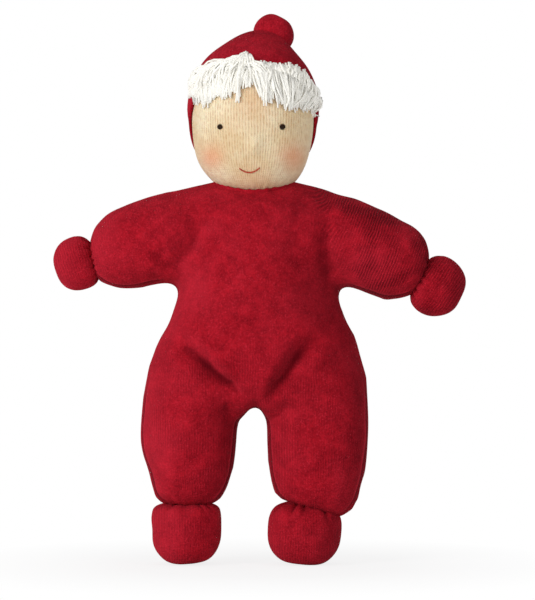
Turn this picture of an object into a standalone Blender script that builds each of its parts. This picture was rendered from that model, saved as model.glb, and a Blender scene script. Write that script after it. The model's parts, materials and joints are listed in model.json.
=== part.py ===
# Waldorf doll: a small stuffed doll in a hooded velour suit.
# Metres, +Z up. The doll faces -Y and its soles are at z = 0.
# The suit is cloth round loose wool. Each limb has a rounded root that turns in a seat in the body.

from math import cos, pi, radians, sin

import bmesh
import bpy
from mathutils import Matrix, Vector
from mathutils.bvhtree import BVHTree

# Cloth, thread and clearances. Weld joins points that a turned or swept form leaves at one place.
velour = 0.0016
jersey = 0.0010
gap = 0.0003
wool_gap = 0.0010
thread = 0.0007
neck_stub = 0.0016
neck_flare_drop = 0.0021
weld = 0.00001
overrun = 0.012

# Trunk
hip_height = 0.0900
hip_spacing = 0.0550
shoulder_rise = 0.0750
shoulder_spacing = 0.0670
crotch_drop = 0.0140
collar_rise = 0.0220
trunk_width = 0.1130
trunk_depth = 0.0620

# Arms: slope is how far each hangs below level
arm_length = 0.0480
arm_root = 0.0235
arm_height = 0.0465
arm_depth = 0.0465
arm_slope_left = 22.5
arm_slope_right = 13.9
lift_up = 30.0
lift_down = 18.0
swing_front = 45.0
swing_back = 15.0

# Hands
hand_length = 0.0210
hand_height = 0.0276
hand_depth = 0.0260
wrist_neck = 0.0034
wrist_seat = 0.0062

# Legs: lean is how far each slopes outward
leg_root = 0.0253
leg_width = 0.0510
leg_depth = 0.0510
ankle_height = 0.0315
leg_lean_left = 0.0
leg_lean_right = 8.2
leg_bow = 0.0030
sit_front = 70.0
sit_back = 12.0
spread_out = 15.0
spread_in = 2.0

# Feet
foot_width = 0.0370
foot_depth = 0.0400
sole_cut = 0.0012
ankle_neck = 0.0045
ankle_seat = 0.0078
foot_inset_left = 0.0035
foot_inset_right = 0.0010

# Head
head_shift = -0.0015
head_width = 0.0620
head_depth = 0.0640
head_height = 0.0700
chin_rise = 0.0005
neck_bulb_radius = 0.0095
neck_radius = 0.0055
neck_drop = 0.0085
neck_plug = 0.0080
neck_slope = 36.0
string_drop = 0.0014
collar_ease = 0.0012
face_turn = -0.0015
nod_front = 18.0
nod_back = 12.0
core_ease = 0.0012
nose_radius = 0.0020
eye_width = 0.0028
eye_height = 0.0024
eye_spacing = 0.0310
mouth_width = 0.0100
mouth_sag = 0.0025

# Hair and hood
hair_thickness = 0.0022
hair_drop = 0.0150
hood_ease = 0.0004
hood_edge = 0.0040
hood_peak = 0.0050
tip_width = 0.0205
tip_height = 0.0120
tip_lean = 30.0
tip_neck = 0.0022
tip_seat = 0.0062
tip_offset = 0.0030
tip_flop = 60.0

# Places worked out from the sizes above
shoulder_height = hip_height + shoulder_rise
crotch_height = hip_height - crotch_drop
collar_height = shoulder_height + collar_rise
trunk_height = collar_height - crotch_height
chin_height = collar_height + chin_rise
head_middle = chin_height + head_height / 2
neck_pivot = Vector((head_shift, 0, collar_height - neck_drop))
sides = {"left": 1, "right": -1}
arm_slopes = {"left": arm_slope_left, "right": arm_slope_right}
leg_leans = {"left": leg_lean_left, "right": leg_lean_right}
foot_insets = {"left": foot_inset_left, "right": foot_inset_right}

# Outlines as shares: place along the form, half width, half depth
trunk_shares = [
    (0.00, 0.00, 0.00), (0.05, 0.66, 0.76), (0.15, 0.87, 1.02), (0.27, 0.94, 1.04), (0.40, 0.82, 1.02),
    (0.54, 0.73, 0.97), (0.69, 0.74, 0.92), (0.84, 0.745, 0.84), (0.95, 0.62, 0.70), (1.01, 0.00, 0.00),
]
limb_shares = [
    (0.00, 0.00, 0.00), (0.05, 0.60, 0.62), (0.17, 0.92, 0.92), (0.36, 1.01, 1.01),
    (0.62, 0.99, 1.00), (0.85, 0.85, 0.85), (0.97, 0.47, 0.47), (1.00, 0.00, 0.00),
]
pouch_shares = [
    (-0.03, 0.00, 0.00), (0.06, 0.62, 0.62), (0.30, 1.00, 0.99), (0.62, 1.03, 1.03), (0.92, 0.70, 0.70),
]
foot_shares = [
    (-0.02, 0.00, 0.00), (0.00, 0.52, 0.78), (0.26, 1.00, 1.01), (0.62, 1.07, 1.05), (0.92, 0.78, 0.72),
]
head_shares = [
    (-0.03, 0.00, 0.00), (0.04, 0.49, 0.49), (0.19, 0.86, 0.85), (0.38, 0.99, 0.97), (0.57, 1.01, 1.01),
    (0.75, 0.93, 0.94), (0.93, 0.60, 0.62), (1.03, 0.00, 0.00),
]
hood_shares = [
    (-0.03, 0.00, 0.00), (0.04, 0.48, 0.48), (0.19, 0.87, 0.86), (0.38, 1.01, 0.99), (0.57, 1.02, 1.02),
    (0.75, 0.96, 0.97), (0.93, 0.68, 0.68), (1.03, 0.00, 0.00),
]
pole_share = 0.2
neck_flare_share = 1.15
wool_root_share = 0.74
sleeve_mouth_share = 0.62
face_width_share = 1.04
hood_hem_share = 0.10
brow_share = 0.955
eye_line_share = 0.455
mouth_line_share = 0.13
nose_line_share = 0.30
neck_bore_share = 0.45
hair_end_share = 0.56


def clear_scene():
    for item in list(bpy.data.objects):
        bpy.data.objects.remove(item, do_unlink=True)


def new_collection(name):
    group = bpy.data.collections.new(name)
    bpy.context.scene.collection.children.link(group)
    return group


clear_scene()
doll = new_collection("waldorf_doll")
cutters = new_collection("cutters")


def finish(name, colour, roughness):
    material = bpy.data.materials.new(name)
    material.use_nodes = True
    shader = material.node_tree.nodes["Principled BSDF"]
    shader.inputs["Base Color"].default_value = (*colour, 1)
    shader.inputs["Roughness"].default_value = roughness
    shader.inputs["Metallic"].default_value = 0
    return material


def add_object(name, mesh, collection, material=None):
    item = bpy.data.objects.new(name, mesh)
    collection.objects.link(item)
    if material:
        mesh.materials.append(material)
        mesh.shade_smooth()
    else:
        item.hide_render = True
        item.display_type = "WIRE"
    return item


def mesh_from(bm, name):
    mesh = bpy.data.meshes.new(name)
    bm.to_mesh(mesh)
    bm.free()
    return mesh


# Stations as one level of subdivision would leave them, for inner forms that stay faceted
def eased(rows):
    inner = []
    for three in zip(rows, rows[1:], rows[2:]):
        inner.append(tuple((a + 6 * b + c) / 8 for a, b, c in zip(*three)))
    ends = [tuple(a + (b - a) * pole_share for a, b in zip(*pair)) for pair in (rows[:2], rows[:-3:-1])]
    first, last = [(height, 0, 0, shift) for height, wide, deep, shift in ends]
    return [first, *inner, last]


# A coarse ball whose rings are set to the given stations, smoothed by one level of subdivision.
# A station is a height, a half width, a half depth and a sideways shift.
def soft_form(name, rings, around, collection, material=None, levels=1):
    bm = bmesh.new()
    rows = len(rings) - 1
    rings = rings if levels else eased(rings)
    bmesh.ops.create_uvsphere(bm, u_segments=around, v_segments=rows, radius=1)
    swell = 3 / (2 + cos(2 * pi / around)) if levels else 1
    for vertex in bm.verts:
        row = round(Vector((0, 0, -1)).angle(vertex.co) / pi * rows)
        height, half_width, half_depth, shift = rings[row]
        flat = Vector((vertex.co.x, vertex.co.y, 0))
        turn = flat.normalized() if flat.length > sin(pi / rows) / 2 else Vector((0, 0, 0))
        vertex.co = (turn.x * half_width * swell + shift, turn.y * half_depth * swell, height)
    item = add_object(name, mesh_from(bm, name), collection, material)
    if levels:
        soften = item.modifiers.new("soften", "SUBSURF")
        soften.levels = levels
        soften.render_levels = levels
    return item


def ball(name, centre, radius, collection, material=None, around=16, rows=8):
    bm = bmesh.new()
    bmesh.ops.create_uvsphere(bm, u_segments=around, v_segments=rows, radius=radius)
    item = add_object(name, mesh_from(bm, name), collection, material)
    item.location = centre
    return item


def block(name, low, high, place=None):
    bm = bmesh.new()
    bmesh.ops.create_cube(bm, size=1)
    low, high = Vector(low), Vector(high)
    bmesh.ops.scale(bm, vec=high - low, verts=bm.verts)
    bmesh.ops.translate(bm, vec=(low + high) / 2, verts=bm.verts)
    item = add_object(name, mesh_from(bm, name), cutters)
    if place:
        item.matrix_world = place
    return item


# The room that a rounded piece sweeps: the hull of balls at the ends of its travel.
def swept_room(name, balls, around=16):
    points = bmesh.new()
    for centre, radius in balls:
        shape = Matrix.Translation(centre)
        half = around // 2
        bmesh.ops.create_uvsphere(points, u_segments=around, v_segments=half, radius=radius, matrix=shape)
    hull = bmesh.ops.convex_hull(points, input=points.verts)
    loose = [v for v in points.verts if not v.link_faces]
    inner = set(hull["geom_interior"]) | set(hull["geom_unused"])
    loose += [v for v in inner if isinstance(v, bmesh.types.BMVert) and v.is_valid]
    bmesh.ops.delete(points, geom=list(set(loose)), context="VERTS")
    outside = [f for f in hull["geom"] if isinstance(f, bmesh.types.BMFace) and f.is_valid]
    strays = [f for f in points.faces if f not in set(outside)]
    bmesh.ops.delete(points, geom=strays, context="FACES")
    bmesh.ops.recalc_face_normals(points, faces=points.faces)
    return add_object(name, mesh_from(points, name), cutters)


# A cutter ball is enlarged so that the flats between its corners still clear the radius
def clear_radius(radius, around=16):
    return (radius + gap) / cos(pi / around) ** 2


def cut(item, tool, name="cut", operation="DIFFERENCE"):
    step = item.modifiers.new(name, "BOOLEAN")
    step.operation = operation
    step.solver = "EXACT"
    step.object = tool
    return step


def hollow(item, wall):
    skin = item.modifiers.new("cloth", "SOLIDIFY")
    skin.thickness = wall
    skin.offset = -1
    return skin


# An empty on a joint's axis, which carries the pieces that turn about it
def joint_axis(name, centre, parent=None):
    axis = bpy.data.objects.new(name, None)
    axis.empty_display_size = thread
    doll.objects.link(axis)
    axis.location = centre
    bpy.context.view_layer.update()
    if parent:
        carry(parent, axis)
    return axis


def carry(parent, *pieces):
    bpy.context.view_layer.update()
    for piece in pieces:
        piece.parent = parent
        piece.matrix_parent_inverse = parent.matrix_world.inverted()


# A thread tied round a neck: a closed round loop
def tie(name, place, radius, material, turns=1):
    bm = bmesh.new()
    around, section = 12, 4
    rings = []
    for step in range(around):
        spin = Matrix.Rotation(2 * pi * step / around, 3, "Z")
        ring = []
        for corner in range(section):
            slope = 2 * pi * corner / section
            point = Vector((radius + thread + thread * cos(slope), 0, thread * turns * sin(slope)))
            ring.append(bm.verts.new(spin @ point))
        rings.append(ring)
    for step in range(around):
        here, there = rings[step], rings[(step + 1) % around]
        for corner in range(section):
            after = (corner + 1) % section
            bm.faces.new((here[corner], there[corner], there[after], here[after]))
    bmesh.ops.recalc_face_normals(bm, faces=bm.faces)
    item = add_object(name, mesh_from(bm, name), doll, material)
    item.matrix_world = place
    return item


def stations(shares, length, width, depth, start=0.0, inset=0.0, bow=0.0):
    rows = []
    for along, wide, deep in shares:
        height = start + inset + along * (length - 2 * inset)
        half_width = max(wide * width / 2 - inset, 0)
        half_depth = max(deep * depth / 2 - inset, 0)
        rows.append((height, half_width, half_depth, bow * sin(pi * along)))
    return rows


velour_red = finish("velour_red", (0.33, 0.012, 0.03), 0.85)
skin_cream = finish("jersey_cream", (0.80, 0.58, 0.38), 0.8)
wool_white = finish("wool_white", (0.82, 0.79, 0.70), 0.95)
yarn_white = finish("yarn_white", (0.86, 0.85, 0.80), 0.9)
thread_red = finish("thread_red", (0.25, 0.01, 0.02), 0.7)
thread_brown = finish("thread_brown", (0.04, 0.02, 0.015), 0.6)
thread_rose = finish("thread_rose", (0.62, 0.08, 0.06), 0.6)


# The place of a limb: its root at the joint, its length running down local -Z, then sloped
def limb_place(joint, slope):
    return Matrix.Translation(joint) @ Matrix.Rotation(slope, 4, "Y")


def shoulder(side):
    return Vector((sides[side] * shoulder_spacing / 2, 0, shoulder_height))


def hip(side):
    return Vector((sides[side] * hip_spacing / 2, 0, hip_height))


def arm_place(side):
    return limb_place(shoulder(side), -sides[side] * radians(90 - arm_slopes[side]))


def leg_place(side):
    return limb_place(hip(side), -sides[side] * radians(leg_leans[side]))


def leg_length(side):
    return (hip_height - ankle_height) / cos(radians(leg_leans[side]))


def turned(place, angles, point):
    about_y, about_z_or_x, last_axis = angles
    spin = Matrix.Rotation(about_y, 3, "Y") @ Matrix.Rotation(about_z_or_x, 3, last_axis)
    return place.translation + spin @ (place.to_3x3() @ Vector(point))


# Every corner of an arm's travel, as balls from its root to past its wrist
def arm_room(side):
    place, hand = arm_place(side), sides[side]
    balls = [(place.translation, clear_radius(arm_root))]
    reach = arm_length + hand_length / 2
    for lift in (-lift_up, 0, lift_down):
        for swing in (-swing_front, 0, swing_back):
            angles = (hand * radians(lift), hand * radians(swing), "Z")
            balls.append((turned(place, angles, (0, 0, -arm_length / 2)), clear_radius(arm_root)))
            balls.append((turned(place, angles, (0, 0, -reach)), clear_radius(hand_height / 2)))
    return swept_room(f"arm_room_{side}", balls)


def leg_room(side):
    place, hand = leg_place(side), sides[side]
    balls = [(place.translation, clear_radius(leg_root))]
    reach = leg_length(side) + foot_depth
    for spread in (-spread_out, 0, spread_in):
        for sit in (-sit_front, -sit_front / 2, 0, sit_back):
            angles = (hand * radians(spread), radians(sit), "X")
            swell = (hand * leg_bow, 0, -leg_length(side) / 2)
            balls.append((turned(place, angles, swell), clear_radius(leg_root + leg_bow / 2)))
            balls.append((turned(place, angles, (0, 0, -reach)), clear_radius(leg_root + leg_bow)))
    return swept_room(f"leg_room_{side}", balls)


def head_room():
    middle = Vector((head_shift, 0, head_middle))
    balls = []
    for nod in (-nod_back, 0, nod_front):
        spin = Matrix.Rotation(radians(nod), 3, "X")
        centre = neck_pivot + spin @ (middle - neck_pivot)
        balls.append((centre, clear_radius(head_height / 2, 24)))
    return swept_room("head_room", balls, 24)


def build_trunk():
    rooms = [room(side) for room in (arm_room, leg_room) for side in sides] + [head_room()]
    rows = stations(trunk_shares, trunk_height, trunk_width, trunk_depth, crotch_height)
    suit = soft_form("suit_body", rows, 12, doll, velour_red)
    hollow(suit, velour)
    collar = ball("collar_hole", neck_pivot, clear_radius(neck_bulb_radius + wool_gap), cutters)
    sweep = neck_radius + 2 * thread + neck_drop * sin(radians(nod_front)) + collar_ease
    mouth = ball("collar_mouth", neck_pivot + Vector((0, 0, neck_drop)), clear_radius(sweep), cutters)
    rooms += [collar, mouth]
    for number, room in enumerate(rooms):
        cut(suit, room, f"room {number}")
    inset = velour + wool_gap
    rows = stations(trunk_shares, trunk_height, trunk_width, trunk_depth, crotch_height, inset)
    wool = soft_form("body_wool", rows, 12, doll, wool_white, 0)
    for number, room in enumerate(rooms):
        cut(wool, room, f"room {number}")
    return suit, wool


# A limb is a cloth sleeve open at its root, with a ball of loose wool at the bend and wool beyond it
def build_limb(words, side, place, length, root, size, seat, trunk):
    sleeve_name, wool_name, bend_name = words
    width, depth, bow = size
    whole = length + root
    rows = stations(limb_shares, whole, width, depth, -length, 0, bow)
    sleeve = soft_form(f"{sleeve_name}_{side}", rows, 8, doll, velour_red)
    sleeve.matrix_world = place
    hollow(sleeve, velour)
    far = whole + overrun
    mouth = block(f"{sleeve_name}_mouth_{side}", (-far, -far, root * sleeve_mouth_share), (far, far, far), place)
    cut(sleeve, mouth, "open root")
    end = ball(f"{sleeve_name}_seat_{side}", place @ Vector((0, 0, -length)), seat, cutters)
    cut(sleeve, end, "drawn in end")
    bend_radius = root * wool_root_share
    bend = ball(f"{bend_name}_{side}", place.translation, bend_radius, doll, wool_white, 12, 6)
    inset = velour + wool_gap
    rows = stations(limb_shares, whole, width, depth, -length, inset, bow)
    wool = soft_form(f"{wool_name}_{side}", rows, 8, doll, wool_white, 0)
    wool.matrix_world = place
    above = block(f"{wool_name}_top_{side}", (-far, -far, 0), (far, far, far), place)
    cut(wool, above, "top")
    bend_room = ball(f"{bend_name}_room_{side}", place.translation, clear_radius(bend_radius, 12), cutters)
    cut(wool, bend_room, "bend")
    cut(wool, ball(f"{wool_name}_end_{side}", end.location, seat + wool_gap, cutters), "end")
    loose = joint_axis(f"{bend_name}_axis_{side}", place.translation, trunk)
    limb = joint_axis(f"{sleeve_name}_axis_{side}", place.translation, loose)
    carry(loose, bend)
    carry(limb, sleeve, wool)
    return limb


# A tied pouch: a ball of velour drawn in to a neck, open at the neck, with a ball of wool inside
def build_pouch(names, place, size, neck, carrier, shares=pouch_shares, shift=0.0, floor=False):
    name, wool_name = names
    length, width, depth = size
    top = neck_flare_drop
    rows = []
    for along, wide, deep in shares:
        height = -length - top + along * length
        rows.append((height, wide * width / 2, deep * depth / 2, shift))
    rows.append((-top, neck * neck_flare_share, neck * neck_flare_share, 0))
    rows.append((neck_stub, neck, neck, 0))
    rows.append((neck_stub, 0, 0, 0))
    pouch = soft_form(name, rows, 8, doll, velour_red)
    pouch.matrix_world = place
    if floor:
        stand_on_floor(pouch, neck_stub)
    inset = velour + wool_gap
    middle = place @ Vector((shift, 0, -top - length / 2))
    for step, grow in ((f"{name}_room", 0), (wool_name, -wool_gap)):
        bm = bmesh.new()
        bmesh.ops.create_uvsphere(bm, u_segments=8, v_segments=6, radius=1)
        half = (width / 2 - inset + grow, depth / 2 - inset + grow, length / 2 - inset + grow)
        bmesh.ops.scale(bm, vec=half, verts=bm.verts)
        if grow:
            core = add_object(step, mesh_from(bm, step), doll, wool_white)
            carry(carrier, core)
        else:
            core = add_object(step, mesh_from(bm, step), cutters)
            cut(pouch, core, "wool room")
        core.matrix_world = Matrix.Translation(middle) @ place.to_3x3().to_4x4()
    bm = bmesh.new()
    bore = neck * neck_bore_share
    reach = length + 2 * top
    bmesh.ops.create_cone(bm, cap_ends=True, segments=8, radius1=bore, radius2=bore, depth=reach)
    bore_item = add_object(f"{name}_bore", mesh_from(bm, f"{name}_bore"), cutters)
    bore_item.matrix_world = place
    cut(pouch, bore_item, "open neck")
    carry(carrier, pouch)
    return pouch


# Stretches a foot from its neck down, so that its underside is just under the floor, and cuts it level
def stand_on_floor(foot, top):
    bpy.context.view_layer.update()
    top_height = foot.matrix_world.translation.z + top
    seen = foot.evaluated_get(bpy.context.evaluated_depsgraph_get())
    lowest = min((seen.matrix_world @ v.co).z for v in seen.data.vertices)
    stretch = (top_height + sole_cut) / (top_height - lowest)
    up = Matrix.Translation((0, 0, top))
    foot.data.transform(up @ Matrix.Scale(stretch, 4, (0, 0, 1)) @ up.inverted())
    far = foot_width + overrun
    ground = block(f"{foot.name}_ground", (-far, -far, -far), (far, far, 0))
    ground.location.x = foot.matrix_world.translation.x
    cut(foot, ground, "flat sole")


def build_arm(side, trunk):
    place = arm_place(side)
    words = ("sleeve", "arm_wool", "shoulder_wool")
    shape = (arm_height, arm_depth, 0)
    limb = build_limb(words, side, place, arm_length, arm_root, shape, wrist_seat, trunk)
    wrist = place @ Matrix.Translation((0, 0, -arm_length))
    axis = joint_axis(f"wrist_{side}", wrist.translation, limb)
    size = (hand_length, hand_height, hand_depth)
    build_pouch((f"hand_{side}", f"hand_wool_{side}"), wrist, size, wrist_neck, axis)
    carry(axis, tie(f"wrist_tie_{side}", wrist, wrist_neck * neck_flare_share + gap, thread_red))


def build_leg(side, trunk):
    place = leg_place(side)
    length = leg_length(side)
    words = ("trouser_leg", "leg_wool", "hip_wool")
    shape = (leg_width, leg_depth, sides[side] * leg_bow)
    limb = build_limb(words, side, place, length, leg_root, shape, ankle_seat, trunk)
    ankle = Matrix.Translation(place @ Vector((0, 0, -length)))
    axis = joint_axis(f"ankle_{side}", ankle.translation, limb)
    size = (ankle_height - ankle_neck - thread, foot_width, foot_depth)
    shift = -sides[side] * foot_insets[side]
    names = (f"foot_{side}", f"foot_wool_{side}")
    build_pouch(names, ankle, size, ankle_neck, axis, foot_shares, shift, True)
    carry(axis, tie(f"ankle_tie_{side}", ankle, ankle_neck * neck_flare_share + gap, thread_red))


def head_rows(grow=0.0, shares=head_shares):
    start = chin_height - neck_pivot.z
    return stations(shares, head_height, head_width, head_depth, start, -grow)


def head_form(name, grow, collection, material=None, levels=1):
    item = soft_form(name, head_rows(grow), 12, collection, material, levels)
    item.location = neck_pivot
    return item


# The bulb and neck are one turned piece, run from the top of the neck down its outer side
def build_neck(carrier):
    rise = chin_height - neck_pivot.z
    outline = [(0, rise + neck_plug), (neck_radius, rise + neck_plug), (neck_radius, rise)]
    steps = 6
    first = pi / 2 - radians(neck_slope)
    for step in range(steps + 1):
        slope = first - step / steps * (first + pi / 2)
        outline.append((neck_bulb_radius * cos(slope), neck_bulb_radius * sin(slope)))
    bm = bmesh.new()
    outline[-1] = (0, -neck_bulb_radius)
    points = [bm.verts.new((x, 0, z)) for x, z in outline]
    for here, there in zip(points, points[1:]):
        bm.edges.new((here, there))
    neck = add_object("neck_bulb", mesh_from(bm, "neck_bulb"), doll, wool_white)
    neck.location = neck_pivot
    turn = neck.modifiers.new("turn", "SCREW")
    turn.steps = 12
    turn.render_steps = 12
    turn.use_merge_vertices = True
    turn.merge_threshold = weld
    carry(carrier, neck)
    knot = Matrix.Translation(neck_pivot + Vector((0, 0, rise - string_drop)))
    carry(carrier, tie("neck_string", knot, neck_radius + gap, thread_red))


def front_of(item, x, z):
    bpy.context.view_layer.update()
    tree = BVHTree.FromObject(item, bpy.context.evaluated_depsgraph_get())
    start = item.matrix_world.inverted() @ Vector((x, -head_depth - overrun, z))
    hit = tree.ray_cast(start, Vector((0, 1, 0)))[0]
    return item.matrix_world @ hit


# A stitched mark stands half out of the skin, a gap off it
def stitch_mark(name, centre, half, material, clearance):
    bm = bmesh.new()
    bmesh.ops.create_uvsphere(bm, u_segments=10, v_segments=6, radius=1)
    bmesh.ops.scale(bm, vec=half, verts=bm.verts)
    mark = add_object(name, mesh_from(bm, name), doll, material)
    mark.location = centre
    cut(mark, clearance, "skin")
    return mark


def build_mouth(skin, clearance, middle):
    path = bpy.data.curves.new("mouth_path", "CURVE")
    path.dimensions = "3D"
    path.bevel_depth = thread
    path.bevel_resolution = 1
    path.use_fill_caps = True
    count = 7
    line = path.splines.new("POLY")
    line.points.add(count - 1)
    height = chin_height + mouth_line_share * head_height
    for step in range(count):
        across = 2 * step / (count - 1) - 1
        x = middle + across * mouth_width / 2
        point = front_of(skin, x, height - mouth_sag * (1 - across * across))
        line.points[step].co = (*point, 1)
    guide = bpy.data.objects.new("mouth_path", path)
    cutters.objects.link(guide)
    bpy.context.view_layer.update()
    mesh = bpy.data.meshes.new_from_object(guide.evaluated_get(bpy.context.evaluated_depsgraph_get()))
    bm = bmesh.new()
    bm.from_mesh(mesh)
    bmesh.ops.remove_doubles(bm, verts=bm.verts, dist=weld)
    mouth = add_object("mouth", mesh_from(bm, "mouth"), doll, thread_rose)
    bpy.data.objects.remove(guide)
    cut(mouth, clearance, "skin")
    return mouth


# An oval bar through the head from the front, for the hood's opening and the hair below its edge
def oval_bar(name, half_width, low, high, back):
    bm = bmesh.new()
    bmesh.ops.create_cone(bm, cap_ends=True, segments=32, radius1=1, radius2=1, depth=1)
    far = head_depth + overrun
    size = (half_width, (high - low) / 2, far + back)
    bmesh.ops.scale(bm, vec=size, verts=bm.verts)
    item = add_object(name, mesh_from(bm, name), cutters)
    place = Matrix.Translation((head_shift, (back - far) / 2, (low + high) / 2))
    item.matrix_world = place @ Matrix.Rotation(pi / 2, 4, "X")
    return item


def build_head(carrier):
    skin = head_form("face_skin", 0, doll, skin_cream)
    hollow(skin, jersey)
    bm = bmesh.new()
    hole = neck_radius + 2 * thread + gap
    rise = 2 * (neck_plug + wool_gap)
    bmesh.ops.create_cone(bm, cap_ends=True, segments=16, radius1=hole, radius2=hole, depth=rise)
    bore = add_object("neck_bore", mesh_from(bm, "neck_bore"), cutters)
    bore.location = (head_shift, 0, chin_height)
    cut(skin, bore, "neck hole")
    wool = head_form("head_wool", -jersey - core_ease, doll, wool_white, 0)
    cut(wool, bore, "neck hole")
    clearance = head_form("skin_clearance", gap, cutters)
    height = chin_height + eye_line_share * head_height
    middle = head_shift + face_turn
    pieces = [skin, wool]
    for side, sign in sides.items():
        point = front_of(skin, middle + sign * eye_spacing / 2, height)
        half = (eye_width / 2, eye_height / 2, eye_height / 2)
        pieces.append(stitch_mark(f"eye_{side}", point, half, thread_brown, clearance))
    pieces.append(build_mouth(skin, clearance, middle))
    nose_point = front_of(skin, middle, chin_height + nose_line_share * head_height)
    centre = nose_point + Vector((0, jersey + gap + nose_radius, 0))
    pieces.append(ball("nose_knot", centre, nose_radius, doll, wool_white, 10, 6))
    cut(wool, ball("nose_room", centre, clear_radius(nose_radius, 10), cutters, None, 10, 6), "nose room")
    carry(carrier, *pieces)
    return clearance


def build_hair_and_hood(carrier, clearance):
    top = chin_height + head_height
    brow = chin_height + brow_share * head_height
    half = head_width / 2 * face_width_share
    rows = head_rows(hood_ease + velour, hood_shares)
    tallest, wide, deep, shift = rows[-1]
    rows[-1] = (tallest + 2 * hood_peak, wide, deep, tip_offset)
    hood = soft_form("hood", rows, 12, doll, velour_red)
    hood.location = neck_pivot
    hollow(hood, velour)
    low = chin_height - head_height
    opening = oval_bar("hood_opening", half, low, brow, -hood_edge)
    cut(hood, opening, "face opening")
    far = head_width + overrun
    hem_height = chin_height + hood_hem_share * head_height
    hem = block("hood_hem", (-far, -far, -far), (far, far, hem_height))
    cut(hood, hem, "hem")
    crown = Matrix.Translation((head_shift + tip_offset, 0, top + hood_peak))
    place = crown @ Matrix.Rotation(pi + radians(tip_lean), 4, "Y")
    cut(hood, ball("tip_seat", crown.translation, tip_seat, cutters), "tip seat")
    reach = neck_flare_drop + tip_height / 2
    balls = []
    for lean in (tip_lean, tip_lean - tip_flop / 2, tip_lean - tip_flop):
        aim = Matrix.Rotation(radians(lean), 3, "Y") @ Vector((0, 0, reach))
        balls.append((crown.translation + aim, clear_radius(tip_width / 2)))
    cut(hood, swept_room("tip_room", balls), "tip room")
    hair = head_form("hair_fringe", gap + hair_thickness, doll, yarn_white)
    cut(hair, clearance, "skin")
    inside = oval_bar("hair_edge", half - gap, low, brow - gap, -hood_edge - gap)
    cut(hair, inside, "under the hood", "INTERSECT")
    below = oval_bar("hair_ends", half, low - hair_drop, brow - hair_drop, -hood_edge)
    cut(hair, below, "cut ends")
    sideburn = chin_height + hair_end_share * head_height
    cut(hair, block("hair_sides", (-far, -far, -far), (far, far, sideburn)), "side ends")
    carry(carrier, hood, hair)
    axis = joint_axis("hood_tip_axis", crown.translation, carrier)
    build_pouch(("hood_tip", "hood_tip_wool"), place, (tip_height, tip_width, tip_width), tip_neck, axis)
    carry(axis, tie("hood_tip_tie", place, tip_neck * neck_flare_share + gap, thread_red))


trunk_axis = joint_axis("doll_root", Vector((0, 0, 0)))
for piece in build_trunk():
    carry(trunk_axis, piece)
for each_side in sides:
    build_arm(each_side, trunk_axis)
    build_leg(each_side, trunk_axis)
neck_axis = joint_axis("neck_axis", neck_pivot, trunk_axis)
head_axis = joint_axis("head_axis", neck_pivot, neck_axis)
build_neck(neck_axis)
build_hair_and_hood(head_axis, build_head(head_axis))
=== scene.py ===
import json
from math import copysign, cos, pi, radians, sin

import bmesh
import bpy
import numpy as np
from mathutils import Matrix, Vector, noise
from mathutils.bvhtree import BVHTree

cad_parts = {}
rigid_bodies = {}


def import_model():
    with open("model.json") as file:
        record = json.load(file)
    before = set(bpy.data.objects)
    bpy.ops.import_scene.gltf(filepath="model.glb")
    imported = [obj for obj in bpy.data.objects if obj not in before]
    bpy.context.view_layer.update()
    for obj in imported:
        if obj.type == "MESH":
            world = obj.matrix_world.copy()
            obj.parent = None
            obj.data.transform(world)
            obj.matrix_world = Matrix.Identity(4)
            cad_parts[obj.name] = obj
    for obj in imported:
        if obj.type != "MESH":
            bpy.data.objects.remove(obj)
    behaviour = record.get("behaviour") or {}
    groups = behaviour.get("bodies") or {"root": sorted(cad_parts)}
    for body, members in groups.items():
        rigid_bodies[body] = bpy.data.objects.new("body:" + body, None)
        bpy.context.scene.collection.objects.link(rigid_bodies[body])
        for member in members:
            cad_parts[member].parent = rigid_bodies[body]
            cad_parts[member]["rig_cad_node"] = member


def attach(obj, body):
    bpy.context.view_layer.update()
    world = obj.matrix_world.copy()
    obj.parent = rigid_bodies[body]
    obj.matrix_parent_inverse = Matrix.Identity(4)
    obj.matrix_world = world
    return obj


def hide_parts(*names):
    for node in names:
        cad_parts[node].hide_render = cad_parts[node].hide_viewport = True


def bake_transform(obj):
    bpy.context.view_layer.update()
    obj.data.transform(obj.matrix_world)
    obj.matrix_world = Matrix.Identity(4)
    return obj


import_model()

# A small stuffed doll in a hooded velour suit. Places are in millimetres as seen from the front, then scaled.
mm = 0.001
backward, upward = Vector((0, 1, 0)), Vector((0, 0, 1))
eyePoint = Vector((5.25, -1500, 132)) * mm
for item in [bpy.data.objects.get(name) for name in ("Cube", "Light", "Camera")]:
    if item and "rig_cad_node" not in item:
        bpy.data.objects.remove(item)
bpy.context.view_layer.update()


def point(x, y, z):
    return Vector((x, y, z)) * mm


def newObject(name, data):
    item = bpy.data.objects.new(name, data)
    bpy.context.scene.collection.objects.link(item)
    return item


def newPiece(name, bm, material=None):
    mesh = bpy.data.meshes.new(name)
    bm.to_mesh(mesh)
    bm.free()
    if material:
        mesh.materials.append(material)
    mesh.shade_smooth()
    return newObject(name, mesh)


# One ring of a stuffed form, a little squarer than an ellipse when power is over 2
def ring(centre, across, deep, count=32, power=2.0):
    around = []
    for step in range(count):
        turn = 2 * pi * step / count
        c, s = cos(turn), sin(turn)
        swell = 2 / power
        offset = across * copysign(abs(c) ** swell, c) + deep * copysign(abs(s) ** swell, s)
        around.append(centre + offset)
    return around


# Rings for rows of height, left edge, right edge and half depth
def standingRings(rows, depth, power):
    rings = []
    for height, left, right, deep in rows:
        half = Vector(((right - left) / 2 * mm, 0, 0))
        centre = point((left + right) / 2, depth, height)
        rings.append(ring(centre, half, backward * (deep * mm), 48, power))
    return rings


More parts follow.
